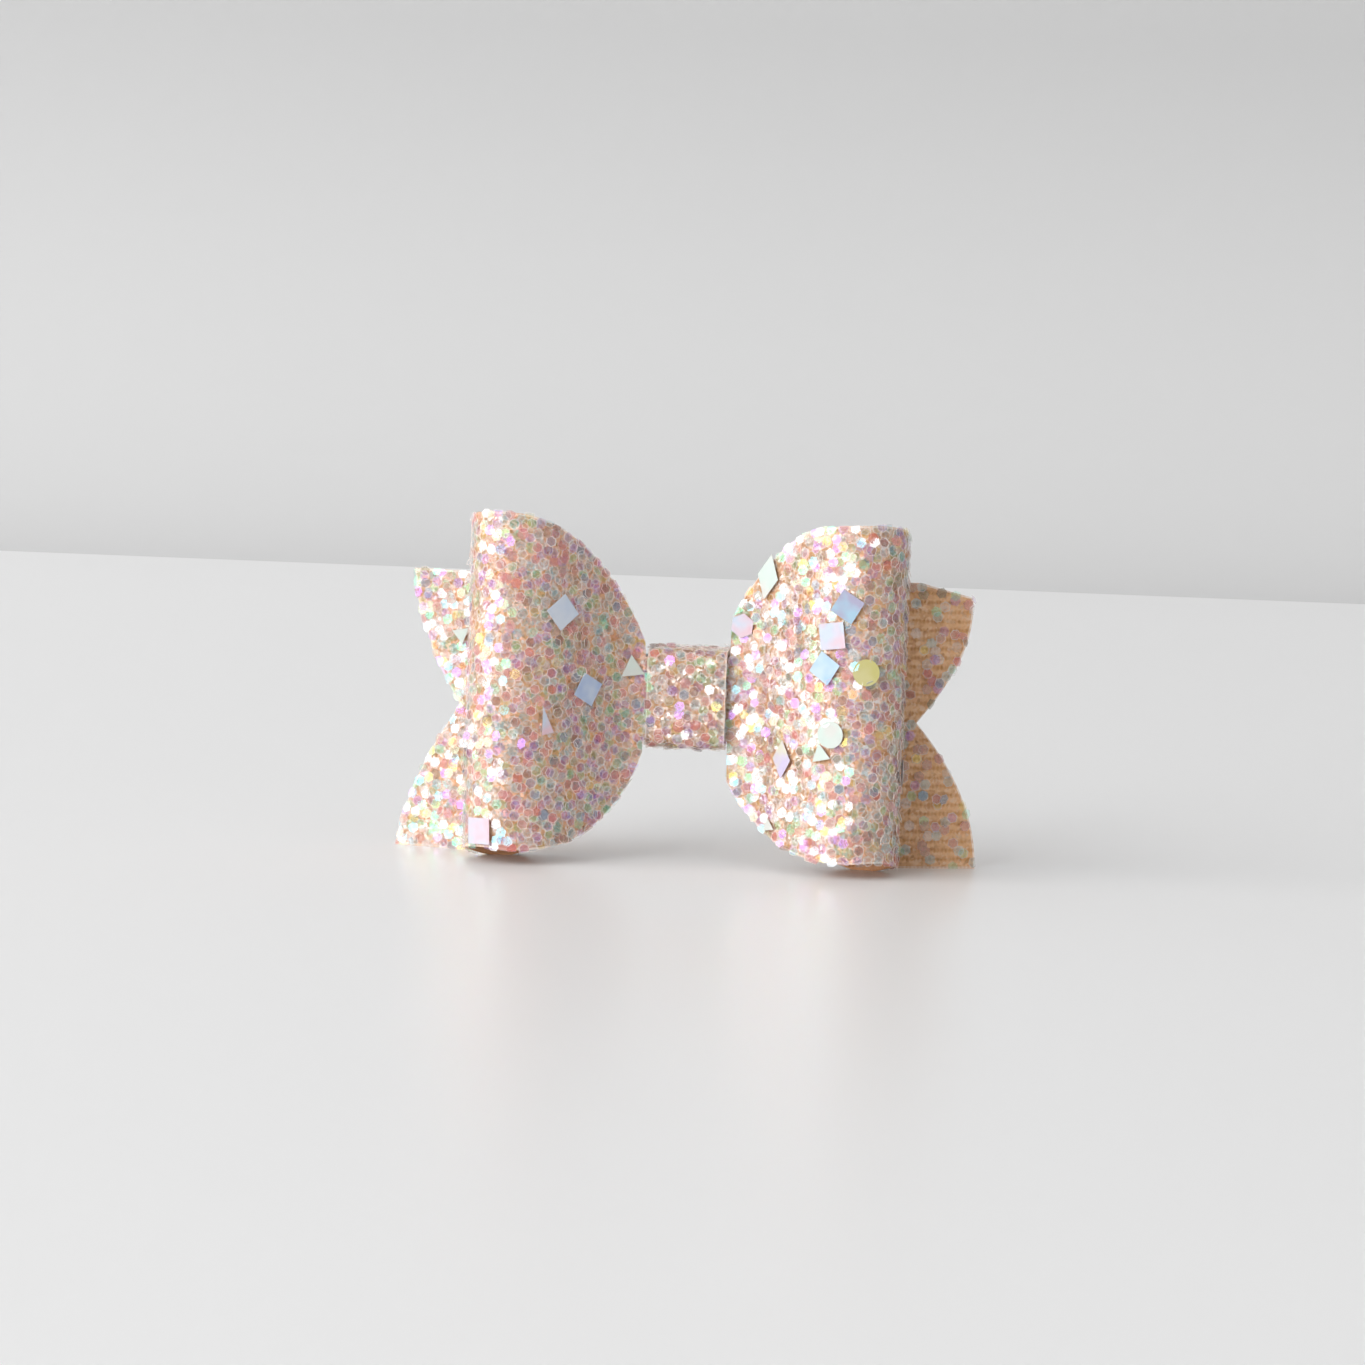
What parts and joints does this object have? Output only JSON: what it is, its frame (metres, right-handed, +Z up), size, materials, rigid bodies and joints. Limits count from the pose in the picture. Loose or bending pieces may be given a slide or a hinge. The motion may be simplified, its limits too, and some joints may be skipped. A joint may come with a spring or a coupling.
{
  "type": "hair bow",
  "caption": "Glitter canvas hair bow with puffed loops, fishtail ends and a lapped centre band, glued to a sprung steel alligator clip that grips hair.",
  "frame": {"origin": "middle of the bow's box at the bottom, on the surface that the loops and tails stand on", "axes": "+X along the bow, tail tip to tail tip, +Y from the band's front towards the clip at the back, +Z up"},
  "size_m": [0.0638, 0.0208, 0.0377],
  "materials": {
    "glitter_canvas": "satin",
    "hot_melt_glue": "satin",
    "nickel_plated_steel": "polished"
  },
  "bodies": {
    "bow": {"bow_loops": "glitter_canvas", "bow_tails": "glitter_canvas", "centre_band": "glitter_canvas", "glue_strip_ends": "hot_melt_glue", "glue_tails": "hot_melt_glue", "glue_clip": "hot_melt_glue", "glue_band_lap": "hot_melt_glue", "clip_fixed_leaf": "nickel_plated_steel", "clip_pin": "nickel_plated_steel", "clip_spring": "nickel_plated_steel"},
    "jaw": {"clip_jaw": "nickel_plated_steel"}
  },
  "joints": [
    {"name": "jaw_hinge", "type": "hinge", "parent": "bow", "child": "jaw", "pos_m": [0.009, 0.00416, 0.01785], "axis": [0, 0, -1], "range_deg": [0, 30], "stiffness_Nm_per_rad": 0.036, "springref_deg": -60.16, "deforming": ["clip_spring"]}
  ]
}
